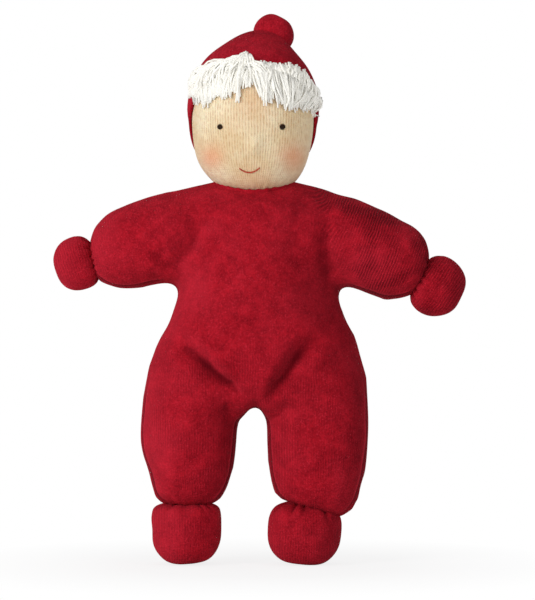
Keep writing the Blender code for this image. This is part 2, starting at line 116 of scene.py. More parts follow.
# Rings for rows of distance along a line, half height and half depth
def ballRings(start, out, rows, power):
    side = backward.cross(out).normalized()
    rings = []
    for along, high, deep in rows:
        centre = start + out * along * mm
        rings.append(ring(centre, side * high * mm, backward * (deep * mm), 32, power))
    return rings


def loft(bm, rings, joined=False):
    rows = [[bm.verts.new(place) for place in around] for around in rings]
    count = len(rows[0])
    for low, high in zip(rows, rows[1:] + rows[:joined]):
        for step in range(count):
            after = (step + 1) % count
            bm.faces.new((low[step], low[after], high[after], high[step]))
    if not joined:
        bm.faces.new(rows[0][::-1])
        bm.faces.new(rows[-1])


def formOf(*stacks, joined=False):
    bm = bmesh.new()
    for rings in stacks:
        loft(bm, rings, joined)
    bmesh.ops.recalc_face_normals(bm, faces=bm.faces)
    return bm


def cutAway(bm, planes):
    for place, normal in planes:
        everything = bm.verts[:] + bm.edges[:] + bm.faces[:]
        bmesh.ops.bisect_plane(bm, geom=everything, dist=1e-7, plane_co=place, plane_no=normal,
            clear_inner=True)


def shownMesh(item):
    bpy.context.view_layer.update()
    return bpy.data.meshes.new_from_object(item.evaluated_get(bpy.context.evaluated_depsgraph_get()))


def applied(item):
    mesh = shownMesh(item)
    item.modifiers.clear()
    item.data = mesh
    return item


def withModifier(item, kind, **values):
    step = item.modifiers.new(kind.lower(), kind)
    for name, value in values.items():
        setattr(step, name, value)
    return applied(item)


def readVectors(source, label):
    flat = np.zeros(len(source) * 3, np.float32)
    source.foreach_get(label, flat)
    return flat.reshape(-1, 3).astype(float)


def readPoints(mesh):
    return readVectors(mesh.vertices, "co")


def readNormals(mesh):
    return readVectors(mesh.vertex_normals, "vector")


def writePoints(mesh, points):
    mesh.vertices.foreach_set("co", points.astype(np.float32).ravel())
    mesh.update()


# Moves every point out along its normal, by heights in millimetres
def raised(item, heights):
    points, normals = readPoints(item.data), readNormals(item.data)
    writePoints(item.data, points + normals * (heights * mm)[:, None])
    return readPoints(item.data)


def neighbours(mesh):
    pairs = np.zeros(len(mesh.edges) * 2, np.int32)
    mesh.edges.foreach_get("vertices", pairs)
    return pairs.reshape(-1, 2)


def averaged(values, pairs, rounds):
    count = np.bincount(pairs.ravel(), minlength=len(values)).astype(float)[:, None]
    for _ in range(rounds):
        total = np.zeros_like(values)
        np.add.at(total, pairs[:, 0], values[pairs[:, 1]])
        np.add.at(total, pairs[:, 1], values[pairs[:, 0]])
        values = values * 0.5 + total / np.maximum(count, 1) * 0.5
    return values


def addAttribute(mesh, name, values):
    vector = values.ndim == 2
    layer = mesh.attributes.new(name, "FLOAT_VECTOR" if vector else "FLOAT", "POINT")
    layer.data.foreach_set("vector" if vector else "value", values.astype(np.float32).ravel())


# From 0 to 1 while a gap grows to its reach
def faded(gap, reach=1):
    return np.clip(gap / reach, 0, 1)


# 1 between two heights, faded to 0 over a reach at each of them
def band(height, low, lowReach, high, highReach):
    return faded(high - height, highReach) * faded(height - low, lowReach)


# A soft round spot in the front view, on the front only
def frontSpot(points, x, z, reach, squash=1.0):
    gap = np.hypot(points[:, 0] / mm - x, (points[:, 2] / mm - z) * squash)
    return np.exp(-(gap / reach) ** 2) * (points[:, 1] < 0)


# Slow unevenness of stuffed cloth, its size and height in millimetres
def lumps(points, size, height, seed=0):
    shift = Vector((seed, 0, 0))
    return np.array([noise.noise(Vector(p) / (size * mm) + shift) for p in points]) * height


# Slow unevenness round a line
def wandering(turns, size, seed):
    return np.array([noise.noise(Vector((cos(turn) * size, sin(turn) * size, seed))) for turn in turns])


# Where points are about a line: the way along it, the turn round it, and the distance from it
def aboutLine(points, start, out):
    away = points - np.array(start)
    along = away @ np.array(out) / mm
    beside = away - np.outer(along * mm, np.array(out))
    side = np.array(backward.cross(out).normalized())
    return along, np.arctan2(beside[:, 1], beside @ side), np.linalg.norm(beside, axis=1) / mm


# Distance in the front view from each point to a line of (x, z) places, with the share along it
def lineDistance(points, path):
    flat = points[:, [0, 2]] / mm
    best = np.full(len(flat), 1e9)
    share = np.zeros(len(flat))
    for number, (start, end) in enumerate(zip(path, path[1:])):
        start, end = np.array(start, float), np.array(end, float)
        run = end - start
        along = faded((flat - start) @ run, run @ run)
        gap = np.linalg.norm(flat - start - along[:, None] * run, axis=1)
        nearer = gap < best
        best = np.where(nearer, gap, best)
        share = np.where(nearer, (number + along) / (len(path) - 1), share)
    return best, share


# What velour needs at each point: rest place, run of the ribs, how far they show, folds for painted shade, and
# painted side light with spots of painted light and shade
def markVelour(item, weave, ribShow, rounds, reach, lean=0.0, paintedLightSpots=()):
    mesh = item.data
    points, normals, pairs = readPoints(mesh), readNormals(mesh), neighbours(mesh)
    lift = ((points - averaged(points, pairs, rounds)) * normals).sum(1) / (reach * mm)
    # Painted side light: towards 1 where the surface faces -X and the key lamp, towards 0 where it faces +X,
    # raised by lean
    paintedSideLight = 0.5 + lean - 0.5 * normals[:, 0]
    # Spots of painted light (push above 0) and painted shade (push below 0)
    for x, z, wide, push in paintedLightSpots:
        paintedSideLight += push * frontSpot(points, x, z, wide)
    addAttribute(mesh, "restPlace", points)
    addAttribute(mesh, "weave", weave)
    addAttribute(mesh, "ribShow", np.full(len(points), ribShow))
    # crown is low in folds and hollows, where the velour gets painted shade
    addAttribute(mesh, "crown", faded(0.5 + 0.5 * averaged(lift[:, None], pairs, 2)[:, 0]))
    addAttribute(mesh, "paintedSideLight", faded(paintedSideLight))


# Materials. Colours are linear, sizes in millimetres.
cloth = {
    "velour": {
        "dark": (0.07, 0.001, 0.0035), "mid": (0.245, 0.0038, 0.01), "light": (0.53, 0.011, 0.024),
        # brushedAndHighlight: lighter brushed pile, and the colour of painted highlights
        "brushedAndHighlight": (0.62, 0.026, 0.05), "ribPitch": 1.3, "ribHeight": 0.3, "wander": 0.5, "stitch": 0.1,
        "seamDepth": -10.5, "seamWidth": 0.6,
        "surface": {
            "Roughness": 0.9, "Specular IOR Level": 0.03, "Sheen Weight": 0.06, "Sheen Roughness": 0.55,
            "Sheen Tint": (1, 0.16, 0.24, 1),
        },
    },
    "jersey": {
        "dark": (0.5, 0.28, 0.13), "mid": (0.75, 0.58, 0.35), "light": (0.88, 0.77, 0.54),
        "blushAndPaintedLight": (0.76, 0.27, 0.13), "ribPitch": 1.5, "ribHeight": 0.24, "wander": 0.25, "stitch": 0.22,
        "surface": {
            "Roughness": 0.78, "Specular IOR Level": 0.25, "Sheen Weight": 0.06, "Subsurface Weight": 0.15,
            "Subsurface Radius": (9 * mm, 5 * mm, 3 * mm), "Subsurface Scale": 1.0,
        },
    },
    "yarn": {
        "dark": (0.91, 0.88, 0.8), "light": (0.98, 0.97, 0.92),
        "surface": {"Roughness": 0.85, "Specular IOR Level": 0.2, "Sheen Weight": 0.15},
    },
    "thread": {
        "red": (0.16, 0.004, 0.009), "brown": (0.02, 0.009, 0.004), "rose": (0.33, 0.045, 0.025),
        "surface": {"Roughness": 0.6, "Specular IOR Level": 0.05},
    },
}


def setInputs(node, values):
    for name, value in values.items():
        node.inputs[name].default_value = value


def link(tree, source, target):
    if hasattr(source, "links"):
        tree.links.new(source, target)
    else:
        target.default_value = source


# One node for each value after the first, so that a sum or a product can take several
def maths(tree, operation, first, *others):
    for other in others or (0.0,):
        node = tree.nodes.new("ShaderNodeMath")
        node.operation = operation
        link(tree, first, node.inputs[0])
        link(tree, other, node.inputs[1])
        first = node.outputs[0]
    return first


def plus(tree, *values):
    return maths(tree, "ADD", *values)


def minus(tree, *values):
    return maths(tree, "SUBTRACT", *values)


def times(tree, *values):
    return maths(tree, "MULTIPLY", *values)


def stretched(tree, value, low, high, least=0.0):
    node = tree.nodes.new("ShaderNodeMapRange")
    link(tree, value, node.inputs["Value"])
    setInputs(node, {"From Min": low, "From Max": high, "To Min": least})
    return node.outputs["Result"]


def grain(tree, place, scale, detail=2.0, rough=0.5, low=0.3, high=0.7):
    node = tree.nodes.new("ShaderNodeTexNoise")
    setInputs(node, {"Scale": scale, "Detail": detail, "Roughness": rough})
    link(tree, place, node.inputs["Vector"])
    return stretched(tree, node.outputs["Fac"], low, high)


def mixed(tree, share, first, second):
    node = tree.nodes.new("ShaderNodeMix")
    node.data_type = "RGBA"
    link(tree, share, node.inputs["Factor"])
    for value, socket in ((first, node.inputs["A"]), (second, node.inputs["B"])):
        link(tree, (*value, 1.0) if isinstance(value, tuple) else value, socket)
    return node.outputs["Result"]


def splitPlace(tree, place):
    node = tree.nodes.new("ShaderNodeSeparateXYZ")
    link(tree, place, node.inputs[0])
    return node.outputs


def attribute(tree, name, output="Vector"):
    node = tree.nodes.new("ShaderNodeAttribute")
    node.attribute_name = name
    return node.outputs[output]


# Wales of a knit: rows of small stitches side by side, which wander a little and fade in places
def makeKnitRibs():
    group = bpy.data.node_groups.new("knitRibs", "ShaderNodeTree")
    for label, side, kind in (("Weave", "INPUT", "Vector"), ("Pitch", "INPUT", "Float"),
                              ("Wander", "INPUT", "Float"), ("Stitch", "INPUT", "Float"),
                              ("Height", "OUTPUT", "Float"), ("Groove", "OUTPUT", "Float")):
        group.interface.new_socket(label, in_out=side, socket_type="NodeSocket" + kind)
    given, out = group.nodes.new("NodeGroupInput").outputs, group.nodes.new("NodeGroupOutput").inputs
    across, down, _ = splitPlace(group, given["Weave"])
    drift = times(group, minus(group, grain(group, given["Weave"], 150.0, 1.0), 0.5), given["Wander"])
    turns = plus(group, maths(group, "DIVIDE", across, given["Pitch"]), drift)
    wale = plus(group, times(group, maths(group, "SINE", times(group, turns, 2 * pi)), 0.5), 0.5)
    rows = maths(group, "DIVIDE", down, times(group, given["Pitch"], 0.72))
    loops = maths(group, "SINE", times(group, plus(group, rows, times(group, wale, 0.5)), 2 * pi))
    link(group, plus(group, wale, times(group, loops, given["Stitch"])), out["Height"])
    link(group, minus(group, 1.0, wale), out["Groove"])
    return group


def knitted(tree, knitRibs, look):
    node = tree.nodes.new("ShaderNodeGroup")
    node.node_tree = knitRibs
    link(tree, attribute(tree, "weave"), node.inputs["Weave"])
    setInputs(node, {"Pitch": look["ribPitch"] * mm, "Wander": look["wander"], "Stitch": look["stitch"]})
    return node.outputs


# Uneven nap: patches of several sizes, then painted side light and painted shade in the folds
def napMottle(tree, place, look):
    tufts = grain(tree, place, 780.0, 3.0, 0.7, 0.33, 0.67)
    clumps = grain(tree, place, 170.0, 3.0, 0.6, 0.32, 0.68)
    patches = grain(tree, place, 42.0, 2.0, 0.5, 0.42, 0.72)
    flecks = grain(tree, place, 1250.0, 2.0, 0.6, 0.54, 0.7)
    bright = plus(tree, times(tree, tufts, 0.55), times(tree, clumps, 0.3))
    brushedAndHighlight = plus(tree, times(tree, patches, 0.16), times(tree, flecks, 0.48))
    colour = mixed(tree, bright, look["mid"], look["light"])
    colour = mixed(tree, times(tree, minus(tree, 1.0, clumps), 0.22), colour, look["dark"])
    colour = mixed(tree, brushedAndHighlight, colour, look["brushedAndHighlight"])
    # Painted shade on sides facing away from the key lamp, painted highlight on sides facing it, painted shade
    # in the folds
    for name, low, high, reach, tint in (("paintedSideLight", 0.42, 0.1, 0.4, "dark"), ("paintedSideLight", 0.66, 1.0, 0.3, "brushedAndHighlight"),
                                         ("crown", 0.46, 0.08, 0.85, "dark")):
        share = times(tree, stretched(tree, attribute(tree, name, "Fac"), low, high), reach)
        colour = mixed(tree, share, colour, look[tint])
    return colour, plus(tree, times(tree, tufts, 0.6), times(tree, clumps, 0.5))


# A sewn edge at one depth of the suit: the stitched groove with painted shade in it, a band of painted shade
# on one side and a painted highlight along the ridge on the other
def sideSeam(tree, place, look):
    wander = times(tree, grain(tree, place, 45.0, 1.0), 0.003)
    away = minus(tree, splitPlace(tree, place)[1], look["seamDepth"] * mm, wander)
    away = maths(tree, "DIVIDE", away, look["seamWidth"] * mm)
    parts = []
    # The groove, a band of painted shade beside it, and a painted highlight on the ridge
    for shift, wide in ((0.0, 1.0), (3.2, 3.2), (-2.2, 1.2)):
        gap = maths(tree, "DIVIDE", minus(tree, away, shift), wide)
        bell = maths(tree, "EXPONENT", times(tree, gap, gap, -1.0))
        parts.append(times(tree, bell, attribute(tree, "seamShow", "Fac")))
    return parts


def newMaterial(name, surface):
    material = bpy.data.materials.new(name)
    material.use_nodes = True
    tree = material.node_tree
    setInputs(tree.nodes["Principled BSDF"], surface)
    return material, tree, tree.nodes["Principled BSDF"]


def bumped(tree, shader, height, distance, strength=1.0, under=None):
    node = tree.nodes.new("ShaderNodeBump")
    setInputs(node, {"Strength": strength, "Distance": distance * mm})
    link(tree, height, node.inputs["Height"])
    if under:
        link(tree, under, node.inputs["Normal"])
    link(tree, node.outputs["Normal"], shader.inputs["Normal"])
    return node.outputs["Normal"]


def makeVelour(knitRibs):
    look = cloth["velour"]
    material, tree, shader = newMaterial("velourRed", look["surface"])
    place = attribute(tree, "restPlace")
    colour, pile = napMottle(tree, place, look)
    ribs = knitted(tree, knitRibs, look)
    shown = times(tree, attribute(tree, "ribShow", "Fac"), grain(tree, place, 60.0, 1.0, 0.5, 0.3, 0.6))
    seamGroove, seamPaintedShade, seamPaintedHighlight = sideSeam(tree, place, look)
    # Rib grooves are darker. The seam gets painted shade in and beside its groove, and a painted highlight on
    # its ridge.
    for share, strength, tint in ((times(tree, ribs["Groove"], shown), 0.6, "dark"), (seamPaintedShade, 0.5, "dark"),
                                  (seamGroove, 0.75, "dark"), (seamPaintedHighlight, 0.34, "brushedAndHighlight")):
        colour = mixed(tree, times(tree, share, strength), colour, look[tint])
    link(tree, colour, shader.inputs["Base Color"])
    ribNormal = bumped(tree, shader, times(tree, ribs["Height"], shown), look["ribHeight"])
    seamNormal = bumped(tree, shader, minus(tree, 1.0, seamGroove), 0.5, 1.0, ribNormal)
    bumped(tree, shader, pile, 0.6, 0.9, seamNormal)
    return material


def makeJersey(knitRibs):
    look = cloth["jersey"]
    material, tree, shader = newMaterial("jerseyCream", look["surface"])
    place = attribute(tree, "restPlace")
    ribs = knitted(tree, knitRibs, look)
    colour = mixed(tree, grain(tree, place, 60.0, 3.0, 0.5, 0.35, 0.7), look["mid"], look["light"])
    grooves = times(tree, ribs["Groove"], grain(tree, place, 500.0), 0.72)
    colour = mixed(tree, grooves, colour, look["dark"])
    # Blush on the cheeks, painted reflection of the suit under the chin and painted shadow of the hair on the
    # brow
    colour = mixed(tree, times(tree, attribute(tree, "blushAndPaintedLight", "Fac"), 0.62), colour, look["blushAndPaintedLight"])
    link(tree, colour, shader.inputs["Base Color"])
    ribNormal = bumped(tree, shader, ribs["Height"], look["ribHeight"], 0.8)
    bumped(tree, shader, grain(tree, place, 1500.0, 3.0, 0.6), 0.12, 0.5, ribNormal)
    return material


def makeYarn():
    look = cloth["yarn"]
    material, tree, shader = newMaterial("yarnWhite", look["surface"])
    place = attribute(tree, "restPlace")
    tone = times(tree, attribute(tree, "strandTone", "Fac"), 0.75)
    share = plus(tree, tone, times(tree, grain(tree, place, 800.0), 0.25))
    link(tree, mixed(tree, share, look["dark"], look["light"]), shader.inputs["Base Color"])
    bumped(tree, shader, grain(tree, place, 2600.0, 2.0, 0.6), 0.12, 0.7)
    return material


def makeThread(name):
    look = cloth["thread"]
    material, tree, shader = newMaterial("thread" + name.title(), look["surface"])
    twist = grain(tree, attribute(tree, "restPlace"), 2200.0, 2.0, 0.6)
    light = tuple(min(value * 1.5 + 0.01, 1) for value in look[name])
    link(tree, mixed(tree, twist, look[name], light), shader.inputs["Base Color"])
    bumped(tree, shader, twist, 0.15, 0.6)
    return material


# The suit, with its limbs still in one piece
suit = {
    "voxel": 3.0,
    "smoothing": 9,
    "trunk": [  # height, left edge, right edge in the photograph, half depth
        (79, -32, 30, 16), (83.5, -50, 49, 26.5), (90, -54.5, 52.8, 30.5), (100, -53.8, 51.8, 32),
        (112, -50, 49.3, 31.5), (125, -43, 42.3, 29.8), (138, -38, 38.5, 28.6), (150, -37, 37.5, 27.6),
        (165, -38, 37, 26), (176, -40, 39.5, 25), (182, -42, 40, 23), (187, -40, 36.5, 20.5),
        (190.3, -24.5, 22, 18), (192.5, -16, 13.5, 13),
    ],
    "creases": [  # front line, depth, width, share of it that shows at the back
        ([(-35, 179), (-30.5, 171), (-30, 165), (-34, 157), (-39.5, 150), (-43, 144)], 2.9, 3.6, 0.6),
        ([(-53, 159), (-47, 153), (-42, 146)], 2.0, 2.4, 0.3),
        ([(38, 180), (34.5, 170), (32.5, 160), (34, 151), (38.5, 141)], 4.2, 3.8, 0.6),
        ([(-42, 113), (-36, 109), (-29, 103), (-19.5, 93.5), (-10, 85.5), (-4.5, 80)], 6.4, 4.4, 0.7),
        ([(-38, 121), (-27, 112), (-17, 103), (-8, 95)], -1.8, 4.5, 0.3),
        ([(37, 116), (29, 112), (22, 106), (16.5, 97), (10, 88), (3.5, 80)], 6.6, 4.4, 0.7),
        ([(20, 116), (14, 108), (9, 99), (4, 92)], -1.4, 4.5, 0.3),
    ],
    "underChin": ((174, 179, 183, 186, 189, 192), (1, 0.95, 0.84, 0.71, 0.6,
        0.5)),  # height, share of the depth
    "gathers": 17, "gatherDepth": 1.3, "gatherReach": 8,
    "widestEnd": 22,
    "fork": {  # each band of heights has a fade after its two ends
        "x": -0.8, "half": 14, "arch": 0.13, "mostArch": 4, "archBand": (60, 12, 92, 6),
        "smoothBand": (62, 5, 82, 3),
    },
    "paintedLightSpots": [  # x, height, reach, strength of painted light (above 0) or painted shade (below 0)
        (-32, 136, 8, 0.3), (-70, 158, 12, 0.12), (24, 176, 14, -0.16), (29, 138, 12, -0.14),
        (0, 170, 14, 0.06), (57, 149, 14, 0.5), (72, 150, 10, 0.15), (-34, 62, 18, 0.18),
        (-32, 98, 14, 0.1), (-50, 60, 10, 0.12), (-6, 128, 18, -0.08), (30, 55, 14, 0.1),
        (-60, 170, 12, -0.08), (60, 170, 12, -0.14), (-23, 167, 5, 0.22), (-29, 159, 5, 0.2),
        (-36, 150, 5, 0.22), (-34, 170, 5, -0.2), (-41, 160, 4.5, -0.2),
    ],
    "filling": {
        "quality": 5, "mass": 0.1, "tension_stiffness": 12, "compression_stiffness": 12, "shear_stiffness": 6,
        "bending_stiffness": 0.3, "shrink_min": -0.02, "use_pressure": True, "uniform_pressure_force": 3.0,
    },
    "frames": 16, "mostPuff": 3.5,
}
limbs = {
    "armRight": [  # x, height, half height, half depth
        (-18, 163.5, 23, 22.5), (-33, 163.9, 23.6, 23.2), (-44, 163.2, 22.9, 23), (-57, 160, 21.9, 22.7),
        (-68, 156.5, 20.4, 21.4), (-76, 153.3, 16.5, 18.4), (-81, 151.8, 11.5, 13.6),
        (-83.6, 151.5, 6.5, 7.5),
    ],
    "armLeft": [
        (18, 163.5, 23, 22.5), (32, 163.5, 22.9, 23.2), (45, 161.4, 22.3, 23.2), (60, 155.6, 21.8, 22.7),
        (71, 151.1, 20.8, 21.4), (78.5, 148.8, 16.8, 18.2), (83, 147.6, 12, 13.6), (85.4, 147, 6.5, 7.5),
    ],
    "legRight": [  # x, height, half width, half depth
        (-29, 94, 26, 27), (-32.4, 82, 24.8, 26.6), (-34, 70, 24.5, 25.6), (-34.5, 61, 24.5, 24.6),
        (-33.8, 50, 22.6, 22.8), (-34.6, 40.5, 19.8, 20.4), (-35.5, 36, 18.4, 18.6), (-36, 31.5, 15.5, 15),
        (-36, 28.8, 9.5, 9.5),
    ],
    "legLeft": [
        (28.5, 94, 25.5, 27), (30, 82, 25, 26.6), (30.6, 70, 25.3, 25.6), (30.5, 58, 24.9, 24.2),
        (30.5, 46.5, 24.3, 22.9), (30.4, 38.5, 22.3, 21.4), (31, 33.3, 20.8, 19.8),
        (30.6, 29.2, 17.6, 16.5), (29.6, 26.2, 11, 10.5),
    ],
}


def limbRings(rows):
    places = [point(x, 0, z) for x, z, _, _ in rows]
    rings = []
    for number, (place, row) in enumerate(zip(places, rows)):
        ahead = places[min(number + 1, len(places) - 1)] - places[max(number - 1, 0)]
        side = backward.cross(ahead).normalized()
        rings.append(ring(place, side * row[2] * mm, backward * (row[3] * mm)))
    return rings


def roughSuit():
    rings = [standingRings(suit["trunk"], 0, 2.15)] + [limbRings(rows) for rows in limbs.values()]
    body = newPiece("suit", formOf(*rings))
    withModifier(body, "REMESH", mode="VOXEL", voxel_size=suit["voxel"] * mm, use_smooth_shade=True)
    return withModifier(body, "SMOOTH", factor=0.5, iterations=suit["smoothing"])


# Presses the creases in, and gives back how firmly they hold the cloth
def pressCreases(body):
    points, normals = readPoints(body.data), readNormals(body.data)
    front = points[:, 1] < 0
    points[front, 1] *= np.interp(points[front, 2] / mm, *suit["underChin"])
    held = np.zeros(len(points))
    for path, depth, width, atBack in suit["creases"]:
        gap, share = lineDistance(points, path)
        ends = np.clip(np.minimum(share * 2.2, (1 - share) * 8), 0.1, 1)
        front = np.where(points[:, 1] < 0, 1.0, atBack) * faded(np.abs(points[:, 1]), 9 * mm)
        press = np.exp(-(gap / width) ** 2) * ends * front
        press *= faded(1.5 + normals[:, 2] * 1.4)
        points -= normals * (depth * mm * press)[:, None]
        held = np.maximum(held, press * (depth > 0))
    writePoints(body.data, points)
    return held


# The filling is blown up inside the cloth, which is held at its creases and its tied ends
def fillWithWool(body, held):
    group = body.vertex_groups.new(name="held")
    for number, share in enumerate(held):
        if share > 0.02:
            group.add([number], float(min(share, 1)), "REPLACE")
    before = readPoints(body.data)
    filling = body.modifiers.new("filling", "CLOTH")
    for name, value in suit["filling"].items():
        setattr(filling.settings, name, value)
    filling.settings.vertex_group_mass = "held"
    filling.settings.effector_weights.gravity = 0
    filling.collision_settings.use_collision = False
    filling.point_cache.frame_start = 1
    filling.point_cache.frame_end = suit["frames"]
    for step in range(1, suit["frames"] + 1):
        bpy.context.scene.frame_set(step)
    applied(body)
    bpy.context.scene.frame_set(1)
    move = readPoints(body.data) - before
    size = np.linalg.norm(move, axis=1)
    print("filling moved", round(float(size.max() / mm), 2), "mm at most,", round(float(size.mean() / mm),
        2), "on average")
    move *= np.minimum(1, suit["mostPuff"] * mm / np.maximum(size, 1e-9))[:, None]
    writePoints(body.data, before + averaged(move, neighbours(body.data), 14))
    body.vertex_groups.clear()


# The fork is a round arch between the legs, smoothed where the creases meet under it
def archCrotch(body):
    fork = suit["fork"]
    points, normals = readPoints(body.data), readNormals(body.data)
    across = points[:, 0] / mm - fork["x"]
    inside = fork["half"] - np.abs(across)
    under = faded(-normals[:, 2] * 1.6) * faded(inside, 5) * band(points[:, 2] / mm, *fork["archBand"])
    points[:, 2] -= under * np.minimum(fork["arch"] * across * across, fork["mostArch"]) * mm
    near = faded(inside, 4) * band(points[:, 2] / mm, *fork["smoothBand"])
    points += (averaged(points, neighbours(body.data), 12) - points) * near[:, None]
    writePoints(body.data, points)


# Small pleats run into each tied end
def gatherEnds(body):
    points, reach = readPoints(body.data), suit["gatherReach"]
    heights = np.zeros(len(points))
    for rows in limbs.values():
        (x1, z1), (x0, z0) = rows[-1][:2], rows[-4][:2]
        out = point(x1 - x0, 0, z1 - z0).normalized()
        along, turn, beside = aboutLine(points, point(x1, 0, z1), out)
        wander = wandering(turn, 1.5, x1)
        pleat = (0.5 + 0.5 * np.cos(turn * suit["gathers"] + wander * 6)) * (0.7 + wander)
        heights -= faded(along + reach, reach) * (beside < suit["widestEnd"]) * pleat * suit["gatherDepth"]
    raised(body, heights)


def endsOf(points):
    near = faded(points[:, 2] / mm - 182, 4)
    for rows in limbs.values():
        x, z = rows[-1][:2]
        gap = np.linalg.norm(points - np.array((x, 0, z)) * mm, axis=1) / mm
        near = np.maximum(near, faded(17 - gap, 7))
    return near


def buildSuit():
    body = roughSuit()
    held = pressCreases(body)
    fillWithWool(body, np.maximum(held, endsOf(readPoints(body.data))))
    withModifier(body, "SUBSURF", levels=1)
    archCrotch(body)
    gatherEnds(body)
    return body


# Where the suit is divided into a trunk and two parts for each limb, with the names of the limb's two joints
limbCuts = {
    "arm_left": {
        "from": (18, 190), "to": (41, 137), "zones": (0.5, 14, 35),
        "joints": ("shoulder_left", "arm_left")},
    "arm_right": {
        "from": (-42, 142), "to": (-20, 189), "zones": (0.5, 14, 35),
        "joints": ("shoulder_right", "arm_right")},
    "leg_left": {
        "from": (57, 120), "to": (-1.5, 79), "zones": (0.5, 15, 41),
        "joints": ("hip_left", "leg_left")},
    "leg_right": {
        "from": (-1.5, 79), "to": (-58, 119), "zones": (0.5, 15, 41),
        "joints": ("hip_right", "leg_right")},
}
legsMiddle = -1.5


# A place on a cut, and the direction out of the trunk that is square to the cut's line in the front view
def cutPlane(limb):
    (x0, z0), (x1, z1) = limbCuts[limb]["from"], limbCuts[limb]["to"]
    run = Vector((x1 - x0, 0, z1 - z0)).normalized()
    return point(x0, 0, z0), Vector((-run.z, 0, run.x))


# A part of the suit that keeps the shading of the whole at its cut edges
def slicePiece(source, name, planes):
    bm = bmesh.new()
    bm.from_mesh(source.data)
    cutAway(bm, planes)
    item = newPiece(name, bm, source.data.materials[0])
    kept = item.data.attributes["restNormal"]
    normals = readVectors(kept.data, "vector")
    normals /= np.maximum(np.linalg.norm(normals, axis=1), 1e-6)[:, None]
    item.data.normals_split_custom_set_from_vertices([tuple(row) for row in normals])
    item.data.attributes.remove(kept)
    return item


def divideSuit(body):
    addAttribute(body.data, "restNormal", readNormals(body.data))
    planes = {limb: cutPlane(limb) for limb in limbCuts}
    trunk = slicePiece(body, "suit_trunk", [(place, -normal) for place, normal in planes.values()])
    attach(trunk, "root")
    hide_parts("suit_body", "body_wool")
    for limb, cut in limbCuts.items():
        place, normal = planes[limb]
        start, middle, end = [place + normal * (step * mm) for step in cut["zones"]]
        kind, side = limb.split("_")
        cloth, wool, bend = ("sleeve", "arm_wool", "shoulder_wool")
        aside = []
        if kind == "leg":
            cloth, wool, bend = ("trouser_leg", "leg_wool", "hip_wool")
            aside = [(point(legsMiddle, 0, 0), Vector((copysign(1, normal.x), 0, 0)))]
        near = slicePiece(body, f"suit_{limb}_root", [(place, normal), (middle, -normal), *aside])
        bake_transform(near)
        far = slicePiece(body, f"suit_{limb}", [(middle, normal), *aside])
        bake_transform(far)
        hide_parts(f"{cloth}_{side}", f"{wool}_{side}")
        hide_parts(f"{bend}_{side}")
    bpy.data.objects.remove(body)


# Hands and feet: pouches gathered to a tied neck
# lean adds painted light over a whole pouch
pouches = {
    "hand_right": {
        "from": (-79.3, 153.3), "to": (-90.5, 150), "power": 2.1,
        "rows": [  # distance out, half height, half depth
            (-1.5, 3.5, 3.5), (0.3, 5.8, 5.4), (1.8, 9.2, 8.8), (4, 12.2, 11.6), (7.5, 13.7, 12.9),
            (11.5, 13.9, 13.1), (15.5, 13, 12.2), (19, 10.6, 10), (21.3, 7.2, 7), (22.5, 3.4, 3.4),
        ],
        "pleats": (13, 1.0), "tie": 3.7, "lean": 0.25, "run": (-0.95923, 0, -0.28263), "ribShow": 0.4,
    },
    "hand_left": {
        "from": (79.3, 144.4), "to": (92.4, 137.6), "power": 2.1,
        "rows": [
            (-1.5, 3.5, 3.5), (0.3, 6.2, 5.6), (1.8, 10, 9.2), (4, 13.4, 12.2), (8, 15.3, 13.7),
            (12.5, 15.7, 13.9), (17, 14.8, 13), (21.3, 12, 10.8), (24, 8.2, 7.6), (25.4, 3.8, 3.6),
        ],
        "pleats": (14, 1.1), "tie": 3.7, "lean": 0, "run": (0.82, 0, -0.57), "ribShow": 0.9,
    },
    "foot_right": {
        "from": (-35.4, 31.5), "to": (-35, 0), "power": 2.25,
        "rows": [
            (-1.5, 4.6, 4.6), (0.2, 7.5, 7.8), (1.2, 12.5, 12.6), (2.6, 16, 16), (4.5, 17.3, 17.6),
            (9, 17.8, 18.8), (14, 17.5, 19.2), (19, 17.3, 19.2), (23, 16.2, 18), (26.5, 14.2, 16.2),
            (29.3, 11.4, 13.4), (30.8, 8.4, 10), (31.5, 4, 5),
        ],
        "pleats": (13, 0.7), "tie": 4.7, "lean": 0.3, "run": (1, 0, 0), "ribShow": 0.4,
    },
    "foot_left": {
        "from": (24.5, 31.5), "to": (22.7, 0), "power": 2.25,
        "rows": [
            (-1.5, 4.6, 4.6), (0.2, 7.5, 7.8), (1.3, 11, 12.2), (2.8, 14.4, 15.6), (5, 16.8, 17.4),
            (9, 18.5, 18.8), (14, 18.6, 19.2), (19.5, 18.3, 19.2), (24, 17, 18), (27.5, 14.6, 16.2),
            (30, 11.4, 13.4), (31.3, 8, 9.5), (31.8, 3, 4),
        ],
        "pleats": (12, 1.7), "tie": 4.7, "lean": 0, "run": (1, 0, 0), "ribShow": 0.4,
    },
}


